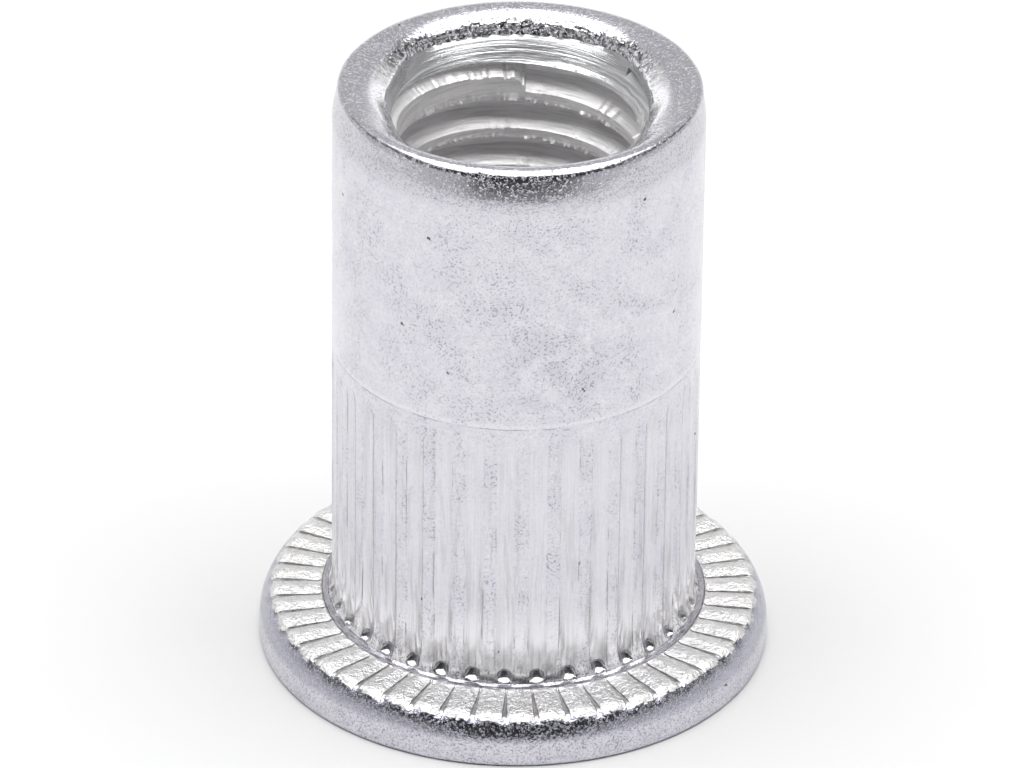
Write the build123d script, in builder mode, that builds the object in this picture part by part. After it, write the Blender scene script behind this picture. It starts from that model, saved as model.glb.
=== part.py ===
from build123d import *

import os
from math import cos, radians, sin

# Flat-head, open-end, knurled rivet nut for an M10 x 1.5 screw, turned and
# cold-formed in one piece. Millimetres. The origin is the centre of the flat
# outer face of the flange, and +Z runs along the bore to the threaded end.

# --- driving dimensions ------------------------------------------------------
length = 22.3  # flange face to the crown of the rolled mouth
body_r = 6.5  # plain shank and knurl crests

head_r = 9.1  # flange
head_t = 1.82  # flange thickness at the serrated seat
head_foot_r = 0.12  # small radius at the outer face's rim
head_side_z = 0.48  # where the flange's side starts to roll over
head_roll_r = 1.15  # radial reach of that roll-over
head_roll_z = head_t - head_side_z

collar_r = 6.85  # foot of the shank where it meets the seat
collar_step = 0.07  # small upright step at the foot
collar_top_z = 2.65  # where the foot's flare runs out into the shank

mouth_out_r = 0.60  # outer rounding of the mouth, radial
mouth_out_z = 1.28  # and axial
mouth_in_r = 0.64  # inner rounding of the mouth, radial
mouth_in_z = 0.56  # and axial

minor_r = 4.25  # minor radius of the M10 x 1.5 internal thread
thread_lo_z = 12.3  # lower end of the threaded wall
chamber_r = 5.35  # thin-wall chamber that collapses when the nut is set
chamber_top_z = 11.5
entry_chamfer = 0.35  # lead-in at the flange face

knurl_count = 36
knurl_depth = 0.12
knurl_tool_r = 0.65
knurl_bottom_z = 2.12  # flat floor of each flute's foot pocket
knurl_full_z = 10.6  # above this the flute narrows to a point
knurl_top_z = 12.2
knurl_phase = -92.5  # degrees, centre of one flute

serration_count = 48
serration_depth = 0.13
serration_in_r = 6.93
serration_out_r = 8.75
serration_slope = 5.0  # degrees, the valleys fall outwards with the seat
serration_phase = -91.75  # degrees, centre of one valley

os.makedirs("parts", exist_ok=True)

# --- cutter for one knurl flute ----------------------------------------------
# A round-nosed bar beside the shank. It stands flute_axis_r from the nut's axis
# and narrows at its top, so the flute ends in a pointed arch.
flute_axis_r = body_r + knurl_tool_r - knurl_depth

with BuildPart() as flute_cutter:
    with BuildSketch(Plane.XZ):
        with BuildLine():
            Polyline(
                (flute_axis_r, knurl_top_z),
                (flute_axis_r, knurl_bottom_z),
                (flute_axis_r + knurl_tool_r, knurl_bottom_z),
                (flute_axis_r + knurl_tool_r, knurl_full_z),
            )
            ThreePointArc(
                (flute_axis_r + knurl_tool_r, knurl_full_z),
                (flute_axis_r + 0.92 * knurl_tool_r, 0.5 * (knurl_full_z + knurl_top_z)),
                (flute_axis_r + 0.70 * knurl_tool_r, knurl_top_z),
            )
            Line(
                (flute_axis_r + 0.70 * knurl_tool_r, knurl_top_z),
                (flute_axis_r, knurl_top_z),
            )
        make_face()
    revolve(axis=Axis((flute_axis_r, 0, 0), (0, 0, 1)))

# --- cutter for one seat serration -------------------------------------------
# A shallow V that runs outwards along the seat and falls with it.
fall = radians(serration_slope)
valley_plane = Plane(
    origin=(serration_in_r, 0, head_t - serration_depth + 0.03),
    x_dir=(0, 1, 0),
    z_dir=(cos(fall), 0, -sin(fall)),
)

with BuildPart() as valley_cutter:
    with BuildSketch(valley_plane):
        with BuildLine():
            Polyline((0, 0), (0.46, 0.42), (-0.46, 0.42), close=True)
        make_face()
    extrude(amount=(serration_out_r - serration_in_r) / cos(fall))

# --- the nut -----------------------------------------------------------------
crown_r = body_r - mouth_out_r
throat_r = crown_r - mouth_in_r
throat_z = length - mouth_in_z
thread_hi_z = throat_z - (throat_r - minor_r)

with BuildPart() as rivet_nut:
    with BuildSketch(Plane.XZ):
        with BuildLine():
            # outer face of the flange, its foot radius and its side
            Line((chamber_r + entry_chamfer, 0), (head_r - head_foot_r, 0))
            RadiusArc(
                (head_r - head_foot_r, 0), (head_r, head_foot_r), -head_foot_r
            )
            Line((head_r, head_foot_r), (head_r, head_side_z))
            # roll-over to the serrated seat
            EllipticalCenterArc(
                center=(head_r - head_roll_r, head_side_z),
                x_radius=head_roll_r,
                y_radius=head_roll_z,
                start_angle=0,
                arc_size=90,
            )
            Line((head_r - head_roll_r, head_t), (collar_r, head_t))
            # foot of the shank: a small step, then a hollow flare
            Line((collar_r, head_t), (collar_r, head_t + collar_step))
            flare = collar_top_z - head_t - collar_step
            EllipticalCenterArc(
                center=(collar_r, collar_top_z),
                x_radius=collar_r - body_r,
                y_radius=flare,
                start_angle=180,
                arc_size=90,
            )
            # shank and rolled mouth
            Line((body_r, collar_top_z), (body_r, length - mouth_out_z))
            EllipticalCenterArc(
                center=(crown_r, length - mouth_out_z),
                x_radius=mouth_out_r,
                y_radius=mouth_out_z,
                start_angle=0,
                arc_size=90,
            )
            EllipticalCenterArc(
                center=(crown_r, throat_z),
                x_radius=mouth_in_r,
                y_radius=mouth_in_z,
                start_angle=90,
                arc_size=90,
            )
            # countersink, threaded wall at its minor radius, chamber and lead-in
            Polyline(
                (throat_r, throat_z),
                (minor_r, thread_hi_z),
                (minor_r, thread_lo_z),
                (chamber_r, chamber_top_z),
                (chamber_r, entry_chamfer),
                (chamber_r + entry_chamfer, 0),
            )
        make_face()
    revolve(axis=Axis.Z)

    # straight shallow flutes around the thin-wall zone
    with PolarLocations(0, knurl_count, start_angle=knurl_phase):
        add(flute_cutter.part, mode=Mode.SUBTRACT)

    # radial serrations on the seat under the head
    with PolarLocations(0, serration_count, start_angle=serration_phase):
        add(valley_cutter.part, mode=Mode.SUBTRACT)

rivet_nut.part.label = "rivet_nut"
export_step(rivet_nut.part, "parts/rivet_nut.step")
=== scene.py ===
import math

import bpy
import numpy as np
from mathutils import Matrix, Vector


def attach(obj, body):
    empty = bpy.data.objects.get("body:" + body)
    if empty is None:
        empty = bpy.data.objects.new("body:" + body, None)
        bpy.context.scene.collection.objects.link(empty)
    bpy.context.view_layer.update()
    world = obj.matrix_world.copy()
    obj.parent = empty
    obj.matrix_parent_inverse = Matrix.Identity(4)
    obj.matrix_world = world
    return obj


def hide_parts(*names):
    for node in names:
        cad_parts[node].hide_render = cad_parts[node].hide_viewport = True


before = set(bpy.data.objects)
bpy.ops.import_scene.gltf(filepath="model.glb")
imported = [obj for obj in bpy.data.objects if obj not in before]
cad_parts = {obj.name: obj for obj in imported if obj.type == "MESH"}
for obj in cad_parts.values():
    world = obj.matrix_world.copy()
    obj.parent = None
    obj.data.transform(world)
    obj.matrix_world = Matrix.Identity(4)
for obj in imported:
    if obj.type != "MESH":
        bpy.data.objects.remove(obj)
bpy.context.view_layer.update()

MM = 0.001
D = math.pi / 180.0

# --------------------------------------------------------------------------
# Sizes of the nut, in millimetres.  z runs up from the underside of the head;
# "depth" runs down from the crown of the mouth.
# --------------------------------------------------------------------------
H = 22.30                 # overall length
R_BODY = 6.50             # shank
R_HEAD = 9.10             # head
Z_RIM = 0.68              # top of the straight part of the rim
R_FOOT = 0.12             # small round at the foot of the rim
R_COLLAR = 6.85           # root of the fillet under the shank
Z_SEAT = 1.82
Z_FLARE = 2.65            # where the fillet has become the shank

LIP_A, LIP_B = 0.60, 1.28      # outer round of the mouth, radial and axial
THROAT_A, THROAT_B = 0.64, 0.56  # inner round of the mouth
R_THROAT = 5.26
R_MINOR = 4.25
R_CHAMBER = 5.35
Z_THREAD_END = 12.30
Z_CHAMBER = 11.50

PITCH = 1.50
THREAD_OPEN = 1.11
THREAD_DEEP = 0.80
TAN30 = math.tan(30 * D)

N_FLUTE, FLUTE_PHASE = 36, -92.5
FLUTE_AXIS, FLUTE_CUT = 7.03, 0.65
FLUTE_DEPTH = R_BODY - (FLUTE_AXIS - FLUTE_CUT)
Z_POCKET = 2.12
Z_KNURL = 12.23

N_SERR, SERR_PHASE = 48, -91.75
SERR_HALF, SERR_DEEP = 0.085, 0.060


# --------------------------------------------------------------------------
# Repeatable noise
# --------------------------------------------------------------------------
def _hash(ix, iy, iz, seed):
    """Repeatable numbers from -1 to 1 for whole-number places."""
    def u(v, k):
        return (np.asarray(v, np.int64) % 65521).astype(np.uint64) * np.uint64(k)
    mask = np.uint64(0xFFFFFFFF)
    h = (u(ix, 374761393) + u(iy, 668265263) + u(iz, 2147483647) + u(seed, 1274126177)) & mask
    h = ((h ^ (h >> np.uint64(13))) * np.uint64(1274126177)) & mask
    h = ((h ^ (h >> np.uint64(16))) * np.uint64(2246822519)) & mask
    return ((h ^ (h >> np.uint64(13))) & np.uint64(0xFFFFFF)).astype(float) / float(0xFFFFFF) * 2.0 - 1.0


def noise3(p, size, seed=0):
    """Smooth value noise, -1 to 1; p is (n, 3) in millimetres."""
    q = np.asarray(p, float) / size
    i = np.floor(q).astype(np.int64)
    f = q - i
    f = f * f * f * (f * (f * 6 - 15) + 10)
    out = np.zeros(len(q))
    for dx in (0, 1):
        wx = f[:, 0] if dx else 1 - f[:, 0]
        for dy in (0, 1):
            wy = f[:, 1] if dy else 1 - f[:, 1]
            for dz in (0, 1):
                wz = f[:, 2] if dz else 1 - f[:, 2]
                out += wx * wy * wz * _hash(i[:, 0] + dx, i[:, 1] + dy, i[:, 2] + dz, seed)
    return out


def fbm(p, size, octaves=3, seed=0, gain=0.5):
    out, amp, total = 0.0, 1.0, 0.0
    for o in range(octaves):
        out = out + amp * noise3(p, size / 2 ** o, seed + 17 * o)
        total += amp
        amp *= gain
    return out / total


def smooth(a, b, x):
    t = np.clip((np.asarray(x, float) - a) / (b - a), 0, 1)
    return t * t * (3 - 2 * t)


def polar(th, r, z):
    t = np.asarray(th, float) * D
    r = np.broadcast_to(np.asarray(r, float), t.shape)
    z = np.broadcast_to(np.asarray(z, float), t.shape)
    return np.stack([r * np.cos(t), r * np.sin(t), z], -1)


def around(th, centre):
    """Angle from centre, -180 to 180."""
    return (np.asarray(th, float) - centre + 180.0) % 360.0 - 180.0


# --------------------------------------------------------------------------
# The skin: closed rings of points, joined one to the next from the inner edge
# of the underside, out and up the outside, over the mouth and down the bore.
# --------------------------------------------------------------------------
class Skin:
    def __init__(self):
        self.points, self.faces, self.zone = [], [], []
        self.count = 0
        self.last = None          # (ids, angles) of the ring before

    def add(self, xyz):
        ids = np.arange(self.count, self.count + len(xyz))
        self.points.append(np.asarray(xyz, float))
        self.count += len(xyz)
        return ids

    def ring(self, th, r, z, zone):
        """One more ring, joined to the ring before it."""
        xyz = polar(th, r, z)
        ids = self.add(xyz)
        if self.last is not None:
            self.join(self.last, (ids, np.asarray(th, float)), zone)
        self.last = (ids, np.asarray(th, float))
        return ids

    def join(self, a, b, zone):
        (ia, ta), (ib, tb) = a, b
        if len(ia) == len(ib):
            n = len(ia)
            zone = np.broadcast_to(np.asarray(zone), (n,))
            for j in range(n):
                k = (j + 1) % n
                self.faces.append((ia[j], ia[k], ib[k], ib[j]))
                self.zone.append(int(zone[j]))
            return
        # Different counts: walk both rings by angle, one triangle at a time.
        na, nb = len(ia), len(ib)
        zone = np.broadcast_to(np.asarray(zone), (nb,))
        start = int(np.argmin(np.abs(around(tb, ta[0]))))
        base = ta[0]
        ua = np.append(np.unwrap(ta * D) / D, 0)
        ua = ua - base
        ua[na] = 360.0
        tb2 = np.roll(tb, -start)
        first = around(tb2[0], base)
        ub = np.unwrap(tb2 * D) / D
        ub = np.append(ub - ub[0] + first, first + 360.0)
        i = j = 0
        while i < na or j < nb:
            if j >= nb or (i < na and ua[i + 1] - ub[j] <= ub[j + 1] - ua[i] and ua[i + 1] <= ub[j + 1]) or (
                i < na and ua[i + 1] <= ub[j + 1]
            ):
                self.faces.append((ia[i], ia[(i + 1) % na], ib[(start + j) % nb]))
                i += 1
            else:
                self.faces.append((ia[i % na], ib[(start + j + 1) % nb], ib[(start + j) % nb]))
                j += 1
            self.zone.append(int(zone[(start + j) % nb]))


ZONES = ("tumbled", "pressed", "machined", "thread", "bore")
TUMBLED, PRESSED, MACHINED, THREAD, BORE = range(5)
skin = Skin()


def even(n, phase=0.0):
    return phase + np.arange(n) * 360.0 / n


# -- underside and foot of the rim -----------------------------------------
plain = even(192)
skin.ring(plain, R_CHAMBER + 0.35, 0.0, BORE)
for r in (6.0, 6.8, 7.7, 8.5):
    skin.ring(plain, r, 0.0, TUMBLED)
rim = even(384)
skin.ring(rim, R_HEAD - R_FOOT, 0.0, TUMBLED)
for a in (22.5, 45, 67.5, 90):
    skin.ring(rim, R_HEAD - R_FOOT * (1 - math.sin(a * D)), R_FOOT * (1 - math.cos(a * D)), TUMBLED)
skin.ring(rim, R_HEAD, 0.30, TUMBLED)
skin.ring(rim, R_HEAD, 0.58, TUMBLED)

# -- roll-over of the rim, up to where the serrations begin ------------------
ROLL_A, ROLL_B, ROLL_N = 0.68, 1.12, 1.7       # quarter of a slightly flattened ellipse
ROLL_X = R_HEAD - ROLL_A


def roll_z(r):
    x = np.clip((np.asarray(r, float) - ROLL_X) / ROLL_A, 0, 1)
    return Z_RIM + ROLL_B * (1 - x ** ROLL_N) ** (1 / ROLL_N)


def rim_point(t):
    """t 0 at the top of the straight rim, 1 at the crown of the seat."""
    a = t * math.pi / 2
    c, s = math.cos(a), math.sin(a)
    k = 2.0 / ROLL_N
    return ROLL_X + ROLL_A * max(c, 0) ** k, Z_RIM + ROLL_B * max(s, 0) ** k


skin.ring(rim, R_HEAD, Z_RIM, TUMBLED)
for t in (0.10, 0.20, 0.29, 0.37, 0.44, 0.50):
    r, z = rim_point(t)
    skin.ring(rim, r, z, TUMBLED)

# -- seat serrations ---------------------------------------------------------
PAD_ROOF = 0.078
serr_off = np.array([-1.0, -0.72, -0.38, 0.0, 0.38, 0.72, 1.0])    # share of the half width
bar_off = np.array([0.07, 0.2, 0.36, 0.5, 0.64, 0.8, 0.93])


def valley_half(r):
    """The flat valley between two pads opens outward."""
    return 0.030 + (SERR_HALF - 0.030) * float(smooth(7.1, 8.5, r))


def serr_angles(r):
    """Columns that follow the two straight edges of each V at this radius."""
    half = math.asin(valley_half(r) / r) / D
    gap = 360.0 / N_SERR - 2 * half
    per = np.concatenate([serr_off * half, half + bar_off * gap])
    return np.concatenate([SERR_PHASE + i * 360.0 / N_SERR + per for i in range(N_SERR)])


serr_kind = np.tile(np.concatenate([np.clip((1 - np.abs(serr_off)) / 0.28, 0, 1), np.zeros(len(bar_off))]), N_SERR)
bar_place = np.tile(np.concatenate([np.zeros(len(serr_off)), bar_off]), N_SERR)
bar_index = np.repeat(np.arange(N_SERR), len(serr_off) + len(bar_off))


def seat_top(r):
    return np.minimum(Z_SEAT - 0.03 * (1 - smooth(7.0, 7.9, r)), roll_z(r))


def serr_ring(r):
    th = serr_angles(r)
    top = float(seat_top(r))
    at = polar(th, r, 0.0)
    own = noise3(np.stack([bar_index * 3.7, bar_index * 0.0, bar_index * 0.0], -1), 1.0, 5)
    uneven_factor = 1 - 0.35 * smooth(0.55, 1.0, -np.sin(th * D))      # struck a little shallower along one side
    deep = (SERR_DEEP + 0.012 * (r - 7.8) + 0.015 * own) * serr_kind * uneven_factor
    # the valleys run out over the rounded edge of the head and short of the collar
    fade = smooth(6.88, 6.98, r) * (1 - smooth(8.36, 8.66, r))
    # roofed, uneven tops of the pads
    pillow = PAD_ROOF * (1 - np.abs(2 * bar_place - 1) ** 1.1) * (bar_place > 0)
    dent = 0.012 * fbm(at, 0.30, 2, 41) * (bar_place > 0)
    bulge = smooth(6.88, 6.98, r) * (1 - smooth(8.66, 8.90, r))       # the pads reach further out than the valleys
    z = top + bulge * (pillow - 0.6 * PAD_ROOF + dent) - fade * deep
    # ragged side edges of the pads
    sway = 0.16 * noise3(np.stack([bar_index * 5.3 + np.sign(serr_off_all) * 2.1, np.full(len(th), r * 6.0), bar_index * 0.0], -1), 1.0, 43)
    th = th + sway * (np.abs(serr_off_all) > 0.9) * fade
    return th, np.full(len(th), r), z


serr_off_all = np.tile(np.concatenate([serr_off, np.zeros(len(bar_off))]), N_SERR)
serr_r = [8.86, 8.82, 8.77, 8.72, 8.67, 8.62, 8.57, 8.50, 8.38, 8.22, 8.05, 7.88, 7.71, 7.54, 7.37, 7.2, 7.08, 7.0, 6.95, 6.91]
for r in serr_r:
    th, rr, z = serr_ring(r)
    # the pads bulge outward; the smooth edge reaches in between them
    reach = 8.60 + 0.10 * (1 - (2 * bar_place - 1) ** 2) * (bar_place > 0) + 0.03 * _hash(bar_index, np.round(bar_place * 20).astype(int), 0, 71)
    skin.ring(th, rr, z, np.where(r > reach, TUMBLED, PRESSED))


# -- collar, fillet and the feet of the flutes -------------------------------
groove_s = np.array([-1.0, -0.88, -0.68, -0.42, -0.14, 0.14, 0.42, 0.68, 0.88, 1.0])
land_t = np.array([0.08, 0.28, 0.5, 0.72, 0.92])


def flute_edge(r_here, lift=0.0):
    """Half angle of a flute where its round cutter meets a cylinder of this radius."""
    axis = FLUTE_AXIS + lift
    c = (axis ** 2 + r_here ** 2 - FLUTE_CUT ** 2) / (2 * axis * r_here)
    return math.acos(min(1.0, max(-1.0, c))) / D


def flute_cols(edge):
    per = np.concatenate([groove_s * edge, edge + land_t * (10.0 - 2 * edge)])
    return np.concatenate([FLUTE_PHASE + i * 10.0 + per for i in range(N_FLUTE)])


in_groove = np.tile(np.concatenate([np.ones(len(groove_s)), np.zeros(len(land_t))]), N_FLUTE)
groove_at = np.tile(np.concatenate([groove_s, np.zeros(len(land_t))]), N_FLUTE)
flute_index = np.repeat(np.arange(N_FLUTE), len(groove_s) + len(land_t))


def flute_r(th, lift=0.0):
    """Radius of the round cutter's floor at each column."""
    off = ((th - FLUTE_PHASE + 5.0) % 10.0 - 5.0) * D
    axis = FLUTE_AXIS + lift
    return axis * np.cos(off) - np.sqrt(np.maximum(FLUTE_CUT ** 2 - (axis * np.sin(off)) ** 2, 0))


def flare_r(z):
    if z >= Z_FLARE:
        return R_BODY
    return R_COLLAR - 0.35 * math.sqrt(max(0.0, 1 - ((Z_FLARE - z) / 0.76) ** 2))


HALF_POCKET = 2.40
cols = flute_cols(HALF_POCKET)
wave = 0.010 * noise3(polar(cols, 6.8, 0), 0.5, 51)
skin.ring(cols, 6.880, 1.782, PRESSED)       # a fine crease inside the pads
skin.ring(cols, 6.850, 1.745, PRESSED)
skin.ring(cols, 6.828, 1.835 + 0.5 * wave, TUMBLED)
skin.ring(cols, 6.822, 1.856 + 0.5 * wave, TUMBLED)
skin.ring(cols, 6.745, 1.856 - 0.5 * wave, TUMBLED)
skin.ring(cols, 6.662, 1.856 + 0.5 * wave, TUMBLED)
skin.ring(cols, 6.640, 1.830 + wave, TUMBLED)   # the crease where the shank begins


def land_r(z):
    """The land: upright, with a slight flare just above the head."""
    return R_BODY + 0.125 * float(np.clip((2.40 - z) / 0.50, 0, 1)) ** 2


def foot_ring(z):
    """Lands, and between them the groove ending below in an arched hollow."""
    r_land = land_r(z)
    half = HALF_POCKET + (flute_edge(R_BODY) - HALF_POCKET) * float(smooth(2.1, 2.7, z))
    th = flute_cols(half)
    k = np.sqrt(np.clip(1 - groove_at ** 2, 0, 1)) * in_groove
    base = r_land - (r_land - (FLUTE_AXIS - FLUTE_CUT)) * (1 - groove_at ** 2) * in_groove
    w = (z - 1.936) / (0.344 * k + 0.02)
    dig = np.interp(w, [0.0, 0.12, 0.80, 0.95, 1.0], [0.125, 0.050, -0.108, -0.085, 0.0])
    ragged = 0.012 * noise3(polar(th, r_land, z), 0.16, 57) * (z < 2.45) * (1 - k)
    return th, base + dig * k + ragged, np.full(len(th), z)


# each pocket has a flat floor; the lands stand straight up beside it
flat_z = np.where(in_groove * (1 - groove_at ** 2) > 0.05, 1.868, 1.872)
skin.ring(cols, 6.622, flat_z, TUMBLED)
for z in (1.936, 1.962, 2.00, 2.05, 2.10, 2.145, 2.185, 2.22, 2.25, 2.28, 2.32, 2.40, 2.52, 2.70):
    skin.ring(*foot_ring(z), TUMBLED)

# -- the knurl ---------------------------------------------------------------
arch_noise = _hash(np.arange(N_FLUTE), 3, 1, 9)


def knurl_ring(z):
    """Full flutes below, each ending above in a pointed arch at its own height."""
    tip = 12.02 + 0.12 * arch_noise[flute_index]
    full = tip - 0.95
    t = np.clip((z - full) / (tip - full), 0, 1)
    width = 1 - 0.55 * t ** 2
    edge0 = flute_edge(R_BODY)
    # columns follow the arch; above its tip they spread out again
    spread = np.where(z > tip, smooth(0, 1, (z - tip) / (Z_KNURL - tip + 1e-6)), 0)
    w = np.maximum(width, np.maximum(0.12, spread))
    edge = edge0 * w
    s = groove_at
    land = np.tile(np.concatenate([np.zeros(len(groove_s)), land_t]), N_FLUTE)
    centre = FLUTE_PHASE + flute_index * 10.0
    th = np.where(in_groove > 0, centre + s * edge, centre + edge + land * (10.0 - 2 * edge))
    # depth of the round floor, narrowed with the arch
    x = s * R_BODY * edge0 * D
    prof = R_BODY - (FLUTE_AXIS - np.sqrt(np.maximum(FLUTE_CUT ** 2 - x ** 2, 0)) + 0.0)
    prof = np.clip(prof, 0, None)
    depth = np.where(in_groove > 0, prof * (1 - smooth(0, 1, t)), 0)
    depth = np.where(z > tip, 0, depth)
    return th, R_BODY - depth, np.full(len(th), z)


for z in (3.1, 4.2, 5.6, 7.0, 8.4, 9.6, 10.5, 11.0, 11.3, 11.5, 11.65, 11.78, 11.88, 11.98, 12.08, 12.16):
    skin.ring(*knurl_ring(z), TUMBLED)

# -- scored line over the knurl, then the plain shank ------------------------
body = even(360, 0.25)
line = 0.55 + 0.45 * noise3(np.stack([body * 0.16, body * 0, body * 0], -1), 1.0, 31)
wander = 0.012 * noise3(np.stack([body * 0.12, body * 0, body * 0 + 4], -1), 1.0, 33)
skin.ring(body, R_BODY, Z_KNURL - 0.045 + wander, TUMBLED)
skin.ring(body, R_BODY - 0.009 * line, Z_KNURL - 0.012 + wander, TUMBLED)
skin.ring(body, R_BODY - 0.001, Z_KNURL + 0.035 + wander, TUMBLED)
skin.ring(body, R_BODY + 0.004, Z_KNURL + 0.09 + wander, TUMBLED)
for z in np.linspace(12.6, H - LIP_B - 0.25, 13):
    skin.ring(body, R_BODY + 0.002, z, TUMBLED)

# -- the mouth ---------------------------------------------------------------
# Outside, a small arc from the crown down to 73 degrees and then a long taper that
# eases into the shank; inside, a rounder fall into the machined countersink, which
# stands a little nearer the front than the axis.
R_CROWN, ARC, ARC_END = 5.90, 0.44, 73.0
arc_r, arc_d = ARC * math.sin(ARC_END * D), ARC * (1 - math.cos(ARC_END * D))
for u in np.linspace(0, 1, 9)[:-1]:
    # taper: a cubic that leaves the shank upright and meets the arc at its slope
    s1 = 1 - u
    span_d, span_r = LIP_B + 0.02 - arc_d, LIP_A - arc_r
    slope = span_d / math.tan(ARC_END * D)
    drop = (3 * span_r - slope) * (1 - s1) ** 2 + (slope - 2 * span_r) * (1 - s1) ** 3
    skin.ring(body, R_BODY - drop, H - (arc_d + span_d * s1), TUMBLED)
for a in (73, 65, 57, 50, 43, 36, 29, 22, 15, 8, 0):
    skin.ring(body, R_CROWN + ARC * math.sin(a * D), H - ARC * (1 - math.cos(a * D)), TUMBLED)


SIDE_T = (0.0, 0.09, 0.18, 0.27, 0.36, 0.44, 0.52, 0.6, 0.68, 0.76, 0.85, 0.92, 1.0)
SIDE_R = (5.90, 5.80, 5.68, 5.56, 5.44, 5.34, 5.25, 5.17, 5.07, 4.95, 4.80, 4.68, 4.60)
SIDE_D = (0.0, 0.004, 0.012, 0.024, 0.042, 0.066, 0.102, 0.150, 0.216, 0.302, 0.412, 0.500, 0.562)


def mouth_inside(th, t):
    """The rounded inside of the mouth for each angle: a large arc, a tight turn, and a
    steep wall down to the machined cone.  t runs 0 to 1; gives radius and depth."""
    c = np.cos((np.asarray(th, float) - 90) * D)       # 1 at the far side, -1 at the front
    r1, r2, d_end = 0.86 + 0.30 * c, 0.20 + 0.05 * c, 0.61 + 0.14 * c
    # at the left and right: a broad, nearly flat crown, then an easier flank
    side = 1 - smooth(0.20, 0.80, np.abs(c))
    side_r = np.interp(t, SIDE_T, SIDE_R)
    side_d = np.interp(t, SIDE_T, SIDE_D)

    def both(r, d):
        return r + (side_r - r) * side, d + (side_d - d) * side

    a1 = 43 * D
    a2 = (48 + 28 * smooth(math.cos(66 * D), math.cos(30 * D), c)) * D      # steep only at the far side
    x1, y1 = r1 * math.sin(a1), r1 * (1 - math.cos(a1))
    x2, y2 = x1 + r2 * (np.sin(a2) - math.sin(a1)), y1 + r2 * (math.cos(a1) - np.cos(a2))
    if t <= 0.6:
        k = a1 * t / 0.6
        return both(R_CROWN - r1 * math.sin(k), r1 * (1 - math.cos(k)))
    if t <= 0.85:
        k = a1 + (a2 - a1) * (t - 0.6) / 0.25
        return both(R_CROWN - x1 - r2 * (np.sin(k) - math.sin(a1)), y1 + r2 * (math.cos(a1) - np.cos(k)))
    k = (t - 0.85) / 0.15
    return both(R_CROWN - x2 - k * (d_end - y2) / np.tan(a2), y2 + k * (d_end - y2))


for t in (0.09, 0.18, 0.27, 0.36, 0.44, 0.52, 0.6, 0.68, 0.76, 0.85, 0.92, 1.0):
    r, d = mouth_inside(body, t)
    # the tool has pushed up a torn, crumbled edge round the inside
    torn = smooth(0.50, 0.85, t) * smooth(-0.10, 0.95, np.cos((body - 88) * D))
    crumb = noise3(np.stack([body * 0.09, body * 0 + 9 * t, body * 0], -1), 0.13, 91) + 0.5 * _hash(np.arange(len(body)), int(100 * t), 5, 92)
    skin.ring(body, r - 0.040 * torn * crumb, H - d + 0.030 * torn * np.clip(crumb, -0.4, 1), TUMBLED)
r_th, d_th = mouth_inside(body, 1.0)

# -- countersink -------------------------------------------------------------
N_COL = 480
col = even(N_COL)
DEPTH_TOP = 0.86          # where the helical rows take over
CONE_END = 1.57


def cone_r(depth, th):
    """A slightly hollow 45 degree cone, set a little nearer the front."""
    f = np.maximum(0.0, CONE_END - np.asarray(depth, float))
    c = np.cos((np.asarray(th, float) - 90) * D)
    off = -0.12 * c * smooth(0.0, 0.5, f)
    return R_MINOR + (1.13 - 0.62 * (1 - smooth(0.20, 0.80, np.abs(c)))) * f - 0.215 * f * f + off


for f in (0.35, 0.75):
    d = d_th + (DEPTH_TOP - d_th) * f
    rim_now = cone_r(d, body)
    skin.ring(body, rim_now + (r_th - cone_r(d_th, body)) * (1 - f), H - d, MACHINED)
top_ids = skin.ring(col, cone_r(DEPTH_TOP, col), H - DEPTH_TOP, MACHINED)

# -- thread: rows that follow the helix ---------------------------------------
# Groove n opens at up(n) on the minor diameter and closes at up(n) + THREAD_OPEN.
D90 = 1.519 - PITCH       # groove 0 at the far wall, one pitch over the first seen


def groove_up(n, th):
    return D90 + n * PITCH - PITCH * (np.asarray(th, float) - 90.0) / 360.0


def flake(n, th):
    """How far the metal of the flank under the first groove is pushed up over it."""
    if n != 1:
        return np.zeros_like(th)
    a = (np.asarray(th, float) - 88.0)
    on = (a >= 0) & (a < 215)
    place = np.round(np.asarray(th, float) / 0.75).astype(int)
    jag = 0.5 * _hash(place, 4, 2, 77) + 0.5 * _hash(place // 3, 5, 2, 78)
    start = np.clip(smooth(-3.0, 5.0, a) + 0.30 * jag * smooth(-4.0, -1.0, a) * (1 - smooth(6.0, 30.0, a)), 0, 1)
    start = np.clip(start + 0.035 * jag * smooth(4.0, 8.0, a), 0, 1.05)
    return np.where(a >= -4.0, 0.545 * start * (1 - smooth(110, 215, a)), 0.0) * (a < 215)


# shares of the profile: opening flank, root, closing flank, crest
ROWS = 12
phase_names = range(ROWS)


def row_depth(n, p, th):
    up = groove_up(n, th)
    shift = flake(n, th)
    flank = THREAD_DEEP * TAN30
    open_ = THREAD_OPEN - shift
    flank_lo = np.minimum(flank, open_ * 0.49)
    flank_up = np.minimum(flank, open_ * 0.49)
    low = up + open_
    if p == 0:
        return up
    if p == 1:
        return up + 0.5 * flank_up
    if p == 2:
        return up + flank_up
    if p == 3:
        return 0.5 * (up + flank_up + low - flank_lo)
    if p == 4:
        return low - flank_lo
    if p == 5:
        return low - 0.5 * flank_lo
    if p == 6:
        return low
    nxt = groove_up(n + 1, th)
    f = (0.0, 0.12, 0.34, 0.62, 0.86)[p - 6] if p - 6 < 5 else 0.95
    f = {7: 0.14, 8: 0.34, 9: 0.56, 10: 0.76, 11: 0.92}[p]
    return low + f * (nxt - low)


def groove_r(n, th, depth):
    up = groove_up(n, th)
    low = up + THREAD_OPEN - flake(n, th)
    flank = np.minimum(depth - up, low - depth) / TAN30
    return R_MINOR + np.clip(flank, 0, THREAD_DEEP)


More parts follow.
